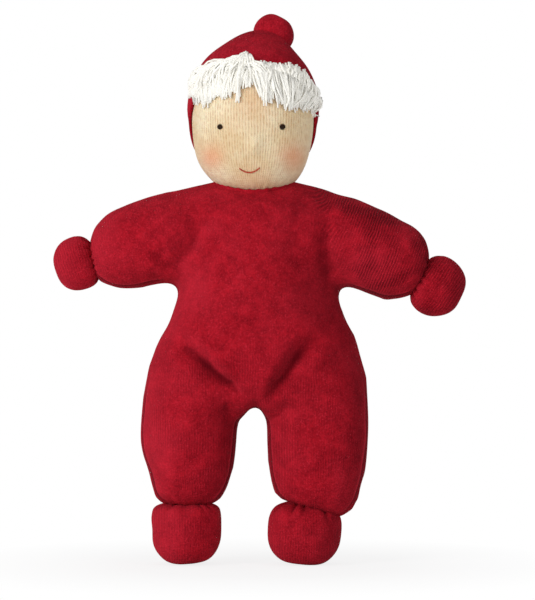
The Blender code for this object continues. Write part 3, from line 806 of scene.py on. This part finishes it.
def buildPouch(name, material, threadMaterial):
    shape = pouches[name]
    start, end = [point(x, 0, z) for x, z in (shape["from"], shape["to"])]
    out = (end - start).normalized()
    item = newPiece(name + "_pouch", formOf(ballRings(start, out, shape["rows"], shape["power"])), material)
    withModifier(item, "SUBSURF", levels=2)
    points = readPoints(item.data)
    along, turn, _ = aboutLine(points, start, out)
    seed = sum(ord(letter) for letter in name)
    wander = wandering(turn, 1.3, seed)
    count, deepest = shape["pleats"]
    fold = (0.5 + 0.5 * np.cos(turn * count + wander * 5)) ** 2
    press = fold * faded(1 - np.abs(along - 2.5) / (5.5 + 3 * wander)) * deepest
    points = raised(item, -press - lumps(points, 11, 0.55, seed))
    points[:, 2] = np.maximum(points[:, 2], 0)
    writePoints(item.data, points)
    run = Vector(shape["run"])
    weave = np.stack([points @ np.array(run), points @ np.array(backward.cross(run)), points[:, 1]], 1)
    markVelour(item, weave, shape["ribShow"], 10, 0.7, shape["lean"])
    part, side = name.split("_")
    joint = "wrist" if part == "hand" else "ankle"
    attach(item, name)
    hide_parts(name, f"{part}_wool_{side}")
    knot = tiedThread(name + "_tie", start, out, shape["tie"], threadMaterial)
    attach(knot, name)
    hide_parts(f"{joint}_tie_{side}")


# Two turns of strong thread, pulled tight round a neck
def tiedThread(name, place, out, radius, material):
    curve = bpy.data.curves.new(name, "CURVE")
    curve.dimensions = "3D"
    curve.bevel_depth = 0.45 * mm
    curve.bevel_resolution = 2
    line = curve.splines.new("POLY")
    side = backward.cross(out).normalized()
    steps = 72
    line.points.add(steps - 1)
    for step in range(steps):
        turn = 4 * pi * step / (steps - 1)
        along = (step / (steps - 1) - 0.5) * 1.1
        reach = radius + 0.25 * sin(turn * 3.5)
        spot = place + (side * cos(turn) + backward * sin(turn)) * reach * mm + out * along * mm
        line.points[step].co = (*spot, 1)
    line = newObject(name, curve)
    mesh = shownMesh(line)
    bpy.data.objects.remove(line)
    mesh.materials.append(material)
    mesh.shade_smooth()
    addAttribute(mesh, "restPlace", readPoints(mesh))
    return newObject(name, mesh)


# The head: a firm ball of wool in a ribbed jersey skin
head = {
    "rows": [  # height, left edge, right edge, half depth
        (184.4, -7, 4.5, 9), (186.2, -13, 10.4, 14), (188, -17.8, 15.2, 17.8), (191, -22.2, 19.3, 21.3),
        (196, -26.6, 22.9, 25), (202, -30, 25.6, 28), (210, -32, 27.5, 30), (219, -32.7, 28.6, 31),
        (229, -32.4, 28.6, 31), (238, -30.6, 27, 29.8), (246, -26.5, 23, 26.5), (252, -20.5, 17.5, 21.5),
        (257, -12, 10, 13.5), (259, -5, 4, 6),
    ],
    "nose": (-1.4, 208.2), "noseOut": 2.3, "noseWide": 3.5,
    "eyes": [(-18.4, 218.6, 1.25), (12.6, 218.6, 1.42)],
    "smile": [
        (-8.7, 197.8), (-7.2, 196.8), (-5.3, 196), (-3.6, 195.8), (-1.9, 196.1), (-0.2, 196.9), (1.3, 198.1)],
    "blushAndPaintedLight": [  # x, height, reach, strength: blush on the cheeks, painted reflection of the red suit under the chin, painted shadow of the hair on the brow
        (-22.5, 202.2, 5.8, 1), (18, 202.6, 6.5, 1), (-2, 188, 9, 0.4), (-2, 230, 13, 0.28),
    ],
}
hood = {
    "rows": [
        (192.5, -22.5, 19, 23.5), (198, -28.5, 25, 28.6), (205, -32.6, 28, 31.6), (213, -34.2, 29.4, 33),
        (222, -35.2, 30.7, 33.6), (232, -34.9, 31.6, 33.3), (240, -33.2, 29.6, 31.6),
        (246, -30.4, 26.8, 29), (252, -26.2, 23, 24.8), (257, -20.8, 18.8, 19.8), (261, -15, 14.8, 15),
        (264, -9.8, 10.8, 10.5), (266, -5.5, 8, 7), (267.2, -1, 4, 3),
    ],
    "frontCut": ((-24, 243.5), (10, 208)),  # depth and height of two places on the plane of the front edge
    "bottom": 193.5, "cloth": 1.5, "snug": 6, "flat": (0.15, 0.095), "area": 0.009,
}
tip = {
    "from": (4.5, 259.4), "to": (9.2, 267), "back": 5, "tie": (2, 1, 261.6),
    "rows": [
        (-1, 3, 3), (0.6, 6.2, 5.4), (2.2, 8.9, 7.6), (4.6, 10.3, 8.8), (8, 10.6, 8.9), (11.8, 9.7, 8),
        (14.8, 7.2, 6), (16.4, 3.6, 3),
    ],
}


# The turn of points about the upright middle of the head, and the weave of a knit whose ribs run down it
def headTurn(points):
    return np.arctan2(points[:, 0] / mm + 2, -points[:, 1] / mm)


def headWeave(turn, points):
    return np.stack([turn * 31 * mm, points[:, 2], points[:, 1]], 1)


def buildFace(material):
    face = newPiece("face_jersey", formOf(standingRings(head["rows"], 0.4, 2.12)), material)
    withModifier(face, "SUBSURF", levels=2)
    points = readPoints(face.data)
    turn = headTurn(points)
    rise = head["noseOut"] * frontSpot(points, *head["nose"], head["noseWide"], 0.85)
    gathers = 0.14 * faded(194 - points[:, 2] / mm, 6) * np.cos(turn * 34)
    points = raised(face, rise + gathers + lumps(points, 16, 0.35))
    addAttribute(face.data, "restPlace", points)
    addAttribute(face.data, "weave", headWeave(turn, points))
    blushAndPaintedLight = [strength * frontSpot(points, x, z, reach) for x, z, reach, strength in head["blushAndPaintedLight"]]
    addAttribute(face.data, "blushAndPaintedLight", np.max(blushAndPaintedLight, axis=0))
    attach(face, "head")
    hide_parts("face_skin", "head_wool", "nose_knot")
    return face


def surfaceOf(*items):
    verts, faces = [], []
    for item in items:
        base = len(verts)
        verts += [vertex.co.copy() for vertex in item.data.vertices]
        faces += [[base + number for number in face.vertices] for face in item.data.polygons]
    return BVHTree.FromPolygons(verts, faces)


# The place on a surface that the camera sees at (x, z) of the photograph's own plane
def onFront(tree, x, z, lift=0.0):
    aim = point(x, 0, z) - eyePoint
    hit, normal, _, _ = tree.ray_cast(eyePoint, aim.normalized())
    if hit is None:
        hit, normal, _, _ = tree.find_nearest(point(x, -8, z))
    return hit + normal * lift * mm, normal


# Satin stitches side by side across a small round eye
def buildEyes(tree, material):
    strands = 7
    for name, (x, z, radius) in zip(("eye_right", "eye_left"), head["eyes"]):
        bm = bmesh.new()
        for strand in range(strands):
            across = (strand + 0.5) / strands * 2 - 1
            reach = radius * 1.15 * (1 - across * across) ** 0.5
            rings = []
            for step in range(9):
                along = step / 8 * 2 - 1
                place, normal = onFront(tree, x + across * radius, z + along * reach,
                    0.18 + 0.2 * (1 - along * along))
                thick = 0.24 * (1 - abs(along) ** 3 * 0.75) * mm
                rings.append(ring(place, upward.cross(normal).normalized() * thick, normal * thick, 8))
            loft(bm, rings)
        eye = newPiece(name + "_stitches", bm, material)
        addAttribute(eye.data, "restPlace", readPoints(eye.data))
        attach(eye, "head")
        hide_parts(name)


def buildSmile(tree, material):
    bm = bmesh.new()
    path = head["smile"]
    for start, end in zip(path, path[1:]):
        rings = []
        for step in range(7):
            share = step / 6
            x = start[0] + (end[0] - start[0]) * (share * 1.12 - 0.06)
            z = start[1] + (end[1] - start[1]) * (share * 1.12 - 0.06)
            place, normal = onFront(tree, x, z, 0.12 + 0.16 * sin(pi * share))
            thick = (0.34 + 0.1 * sin(pi * share)) * mm
            side = upward.cross(normal).normalized()
            rings.append(ring(place, normal.cross(side).normalized() * thick, normal * thick, 8))
        loft(bm, rings)
    smile = newPiece("mouth_stitches", bm, material)
    addAttribute(smile.data, "restPlace", readPoints(smile.data))
    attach(smile, "head")
    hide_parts("mouth")


def buildHood(material, faceTree):
    cap = newPiece("hood_velour", formOf(standingRings(hood["rows"], 0.4, 2.1)), material)
    withModifier(cap, "SUBSURF", levels=2)
    raised(cap, lumps(readPoints(cap.data), 13, 0.5, 4))
    (y0, z0), (y1, z1) = hood["frontCut"]
    along = Vector((0, y1 - y0, z1 - z0)).normalized()
    edge, inward = point(0, y0, z0), Vector((0, -along.z, along.y))
    bm = bmesh.new()
    bm.from_mesh(cap.data)
    cutAway(bm, [(edge, inward), (point(0, 0, hood["bottom"]), upward)])
    for vertex in bm.verts:
        near = 1 - (vertex.co - edge).dot(inward) / (hood["snug"] * mm)
        if near > 0:
            spot, normal, _, _ = faceTree.find_nearest(vertex.co)
            vertex.co = vertex.co.lerp(spot + normal * (hood["cloth"] + 0.15) * mm, near ** 0.7)
    bm.to_mesh(cap.data)
    bm.free()
    withModifier(cap, "SOLIDIFY", thickness=hood["cloth"] * mm, offset=-1.0, use_even_offset=False)
    points = readPoints(cap.data)
    markVelour(cap, headWeave(headTurn(points), points), 0.35, 10, 0.8)
    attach(cap, "head")
    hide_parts("hood")
    return cap


def buildTip(material, threadMaterial):
    start, end = [point(x, tip["back"], z) for x, z in (tip["from"], tip["to"])]
    out = (end - start).normalized()
    ball = newPiece("hood_tip_pouch", formOf(ballRings(start, out, tip["rows"], 2.1)), material)
    withModifier(ball, "SUBSURF", levels=2)
    points = readPoints(ball.data)
    along, turn, _ = aboutLine(points, start, out)
    fold = (0.5 + 0.5 * np.cos(turn * 9 + 1)) ** 2 * faded(1 - np.abs(along - 1.5) / 5) * 0.9
    points = raised(ball, -fold - lumps(points, 9, 0.6, 7))
    markVelour(ball, points, 0.2, 10, 0.7)
    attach(ball, "hood_tip")
    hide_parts("hood_tip", "hood_tip_wool")
    knot = tiedThread("hood_tip_thread", point(*tip["tie"]), out, 1.3, threadMaterial)
    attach(knot, "hood_tip")
    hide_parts("hood_tip_tie")


# The fringe: strands of soft yarn in locks, each with its roots and its tips along two lines of the front view
hair = {
    "locks": [
        {"roots": [(-3, 250), (-10, 250), (-19, 247.5), (-25.5, 244.5), (-29.5, 240.5), (-31.5, 236.5)],
         "tips": [(-10.5, 235.5), (-15, 235), (-20, 235), (-25, 232.5), (-29, 232), (-31.5, 233)],
         "count": 80, "thick": 1.05, "lift": (0.3, 0.9), "sweep": 1.7},
        {"roots": [(-2, 248), (5, 248.5), (13, 248), (19, 247), (24, 242.5), (28, 237), (30.5, 231)],
         "tips": [(0,
             239), (4.5, 236), (8.5, 241), (12.5, 232.5), (18, 231), (23, 229.5), (27, 228), (29.5, 227)],
         "count": 90, "thick": 1.05, "lift": (0.3, 0.9), "sweep": 1.1},
        {"roots": [(-4, 252.5),
            (-8, 251.9), (-13, 250.8), (-18, 249.4), (-22.5, 247), (-26.5, 243.6), (-29.3, 239.8)],
         "tips": [(-16,
             233.4), (-20.5, 233), (-25, 229.6), (-28.5, 230.4), (-30.3, 232), (-31, 233.8), (-31.2, 235.5)],
         "count": 115, "thick": 0.58, "lift": (0.8, 2.4), "sweep": 2.2},
        {"roots": [(-8, 252.8), (-5.5, 254.3), (-3.5, 252.6)],
         "tips": [(-15, 233), (-11.5, 232.4), (-9, 238), (-5, 238.2), (0, 239.8)],
         "count": 60, "thick": 0.55, "lift": (1.2, 2.8), "sweep": 1.3},
        {"roots": [(-6, 247.5), (-3, 250)], "tips": [(3, 238.8), (7.5, 241.5)],
         "count": 26, "thick": 0.55, "lift": (1.6, 3.2), "sweep": 1.8},
        {"roots": [(-2, 249.5), (3, 249.9), (7.5, 249.3)], "tips": [(2.4, 232.5), (4.2, 230.6), (6.4, 232)],
         "count": 44, "thick": 0.56, "lift": (0.9, 2.8), "sweep": 1.2},
        {"roots": [(6.5, 249.6), (13, 249), (19, 248.3), (23, 244.6), (26.5, 239.2), (28.8, 233)],
         "tips": [(11, 228.8), (14, 227.6), (18, 228.6), (22.5, 227.4), (26, 225.8), (29.2, 225.4)],
         "count": 125, "thick": 0.57, "lift": (0.8, 2.7), "sweep": 1.1},
    ],
}


def alongPath(path, share):
    place = share * (len(path) - 1)
    number = min(int(place), len(path) - 2)
    part = place - number
    (x0, z0), (x1, z1) = path[number], path[number + 1]
    return x0 + (x1 - x0) * part, z0 + (z1 - z0) * part


def buildHair(tree, material):
    bm = bmesh.new()
    random = np.random.default_rng(7)
    tones, count = [], 9
    for lock in hair["locks"]:
        low, high = lock["lift"]
        clumps = random.normal(0, (1.1, 1.0, 0.7), (lock["count"] // 6 + 1, 3))
        for strand in range(lock["count"]):
            share = (strand + random.uniform(0, 1)) / lock["count"]
            rootX, rootZ = alongPath(lock["roots"], share)
            tipX, tipZ = alongPath(lock["tips"], min(max(share + random.normal(0, 0.03), 0), 1))
            rootX, rootZ = rootX + random.normal(0, 0.5), rootZ + random.normal(0, 0.6)
            leanX, leanZ, twist = clumps[strand // 6]
            tipX, tipZ = tipX + leanX + random.normal(0, 0.8), tipZ + leanZ + random.uniform(-0.6, 2.6)
            layer = random.uniform(low, high)
            wave = twist + random.normal(0, 0.6)
            bend = lock["sweep"] + random.normal(0, 0.25)
            places = []
            for step in range(count):
                part = step / (count - 1)
                x = rootX + (tipX - rootX) * (1 - (1 - part) ** bend) + wave * sin(pi * part * 1.4)
                z = rootZ + (tipZ - rootZ) * part ** (bend * 0.9)
                lift = layer * (0.4 + 0.75 * sin(pi * min(part * 1.1, 1))) + 0.35
                places.append(onFront(tree, x, z, lift))
            rings = []
            for number, (place, normal) in enumerate(places):
                ahead = places[min(number + 1, count - 1)][0] - places[max(number - 1, 0)][0]
                side = normal.cross(ahead).normalized()
                thick = lock["thick"] * random.uniform(0.8,
                    1.15) * (1 - 0.3 * (number / (count - 1)) ** 3) * mm
                rings.append(ring(place, side * thick, side.cross(ahead).normalized() * thick, 6))
            loft(bm, rings)
            tones += [random.uniform(0.4, 1)] * (count * 6)
    fringe = newPiece("hair_strands", bm, material)
    addAttribute(fringe.data, "restPlace", readPoints(fringe.data))
    addAttribute(fringe.data, "strandTone", np.array(tones))
    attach(fringe, "head")
    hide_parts("hair_fringe")


# The drawn-up edge of the suit round the neck, a row of small gathers
collar = {
    "height": 189.8, "left": -21.4, "right": 18.6, "halfDepth": 17, "front": 15.4, "thick": 0.95, "dip": 4.0,
    "gathers": 26, "neck": (-1.5, 0, 181.2), "neckRadius": 6.0,
}


def buildCollar(material, threadMaterial):
    count = collar["gathers"] * 6
    centre = (collar["left"] + collar["right"]) / 2
    half = (collar["right"] - collar["left"]) / 2
    turns = [2 * pi * step / count for step in range(count)]
    rings = []
    for turn, wander in zip(turns, wandering(turns, 2, 3)):
        ruffle = 0.5 + 0.5 * cos(turn * collar["gathers"] + wander * 4)
        dip = collar["dip"] * max(-sin(turn), 0) ** 2
        deep = collar["halfDepth"] if sin(turn) > 0 else collar["front"]
        place = point(centre + cos(turn) * half, sin(turn) * deep, collar["height"] - dip + wander * 0.4)
        thick = collar["thick"] * (0.62 + 0.42 * ruffle) * mm
        out = Vector((cos(turn), sin(turn), 0))
        rings.append(ring(place, out * thick * 0.9, upward * (thick * 1.15), 10))
    edge = newPiece("collar_gathers", formOf(rings, joined=True), material)
    markVelour(edge, readPoints(edge.data), 0.0, 8, 0.5)
    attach(edge, "root")
    knot = tiedThread("neck_thread", point(*collar["neck"]), upward, collar["neckRadius"], threadMaterial)
    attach(knot, "neck")
    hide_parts("neck_string", "neck_bulb")


# Ribs run down the trunk and the legs, round their sides, and square to the arms
ribRun = {
    "flatHalf": 31, "sideRadius": 25, "armReach": 12,
    "arms": {  # x, height, tilt, how far the ribs show
        "arm_left": (30, 163, -22, 1.4), "arm_right": (-30, 163, 10, 0.25)},
    "legSeam": (30, 5, 96, 14),
}


def markSuit(body):
    points = readPoints(body.data)
    x, y, z = points.T / mm
    flatHalf, aside = ribRun["flatHalf"], np.abs(x - legsMiddle)
    wrapped = flatHalf + ribRun["sideRadius"] * np.arctan2(aside - flatHalf, np.abs(y) + 0.01)
    across = np.sign(x - legsMiddle) * np.where(aside > flatHalf, wrapped, aside)
    down = z.copy()
    show = np.clip((118 - z) / 40, 0.1, 0.45)
    for limb, (armX, armZ, tilt, armShow) in ribRun["arms"].items():
        start, normal = cutPlane(limb)
        share = faded((points - np.array(start)) @ np.array(normal) / mm, ribRun["armReach"])
        share = share * share * (3 - 2 * share)
        c, s = cos(radians(tilt)), sin(radians(tilt))
        across += share * ((x - armX) * c + (z - armZ) * s + armX - across)
        down += share * ((z - armZ) * c - (x - armX) * s + armZ - down)
        show += share * (armShow - show)
    underArm = faded(aside - 42, 10) * faded(0.4 - readNormals(body.data)[:, 2] * 2)
    seamShow = np.maximum(band(z, *ribRun["legSeam"]), underArm) * faded(80 - aside, 4)
    addAttribute(body.data, "seamShow", seamShow)
    markVelour(body, np.stack([across, down, y], 1) * mm, show, 14, 1.1, paintedLightSpots=suit["paintedLightSpots"])


# A pale floor and soft studio light from the upper left
studio = {
    "floorHalf": 1.6, "plainFrom": 0.07, "plainTo": 0.17, "ambient": 0.4, "plainLeast": 0.82,
    "surface": {"Base Color": (0.95, 0.95, 0.95, 1), "Roughness": 0.95, "Specular IOR Level": 0.0},
    "lamps": {  # place, size, power
        "key": ((-1.1, -1.0, 0.45), 0.6, 13.5), "fill": ((1.0, -0.9, 0.45), 0.9, 4.6),
        "top": ((0.0, 0.3, 1.2), 0.8, 2.0),
    },
}


def seenDirectly(tree):
    rays = tree.nodes.new("ShaderNodeLightPath").outputs
    direct = plus(tree, rays["Is Camera Ray"], rays["Is Glossy Ray"], rays["Is Transmission Ray"])
    return maths(tree, "MINIMUM", direct, 1.0)


def buildStudio():
    bm = bmesh.new()
    bmesh.ops.create_grid(bm, x_segments=4, y_segments=4, size=studio["floorHalf"])
    material, tree, shader = newMaterial("paperFloor", studio["surface"])
    length = tree.nodes.new("ShaderNodeVectorMath")
    length.operation = "LENGTH"
    link(tree, tree.nodes.new("ShaderNodeNewGeometry").outputs["Position"], length.inputs[0])
    plain = stretched(tree, length.outputs["Value"], studio["plainFrom"], studio["plainTo"],
        studio["plainLeast"])
    glow = tree.nodes.new("ShaderNodeEmission")
    mix = tree.nodes.new("ShaderNodeMixShader")
    link(tree, times(tree, plain, seenDirectly(tree)), mix.inputs[0])
    link(tree, shader.outputs[0], mix.inputs[1])
    link(tree, glow.outputs[0], mix.inputs[2])
    link(tree, mix.outputs[0], tree.nodes["Material Output"].inputs["Surface"])
    newPiece("floor", bm, material)
    world = bpy.data.worlds.new("studio")
    bpy.context.scene.world = world
    world.use_nodes = True
    sky = world.node_tree
    light = plus(sky, times(sky, seenDirectly(sky), 1 - studio["ambient"]), studio["ambient"])
    link(sky, light, sky.nodes["Background"].inputs["Strength"])
    setInputs(sky.nodes["Background"], {"Color": (1, 1, 1, 1)})
    for name, (place, size, power) in studio["lamps"].items():
        lamp = bpy.data.lights.new(name, "AREA")
        lamp.energy, lamp.size = power, size
        item = newObject(name, lamp)
        item.location = place
        item.rotation_euler = (Vector((0, 0, 0.14)) - item.location).to_track_quat("-Z", "Y").to_euler()


def buildCamera():
    lens = bpy.data.cameras.new("camera")
    lens.sensor_fit, lens.sensor_height, lens.lens = "VERTICAL", 24, 120
    camera = newObject("camera", lens)
    camera.location = eyePoint
    camera.rotation_euler = (radians(90), 0, 0)
    bpy.context.scene.camera = camera


bpy.context.scene.view_settings.view_transform = "Standard"
buildStudio()
buildCamera()
print("stage: studio")
knitRibs = makeKnitRibs()
velourRed, jerseyCream, yarnWhite = makeVelour(knitRibs), makeJersey(knitRibs), makeYarn()
threadRed, threadBrown, threadRose = [makeThread(name) for name in ("red", "brown", "rose")]
print("stage: materials")
suitBody = buildSuit()
suitBody.data.materials.clear()
suitBody.data.materials.append(velourRed)
markSuit(suitBody)
divideSuit(suitBody)
buildCollar(velourRed, threadRed)
for pouchName in pouches:
    buildPouch(pouchName, velourRed, threadRed)
print("stage: suit, hands and feet")
faceJersey = buildFace(jerseyCream)
faceTree = surfaceOf(faceJersey)
hoodVelour = buildHood(velourRed, faceTree)
buildTip(velourRed, threadRed)
buildEyes(faceTree, threadBrown)
buildSmile(faceTree, threadRose)
buildHair(surfaceOf(faceJersey, hoodVelour), yarnWhite)
print("stage: head, hood and hair")
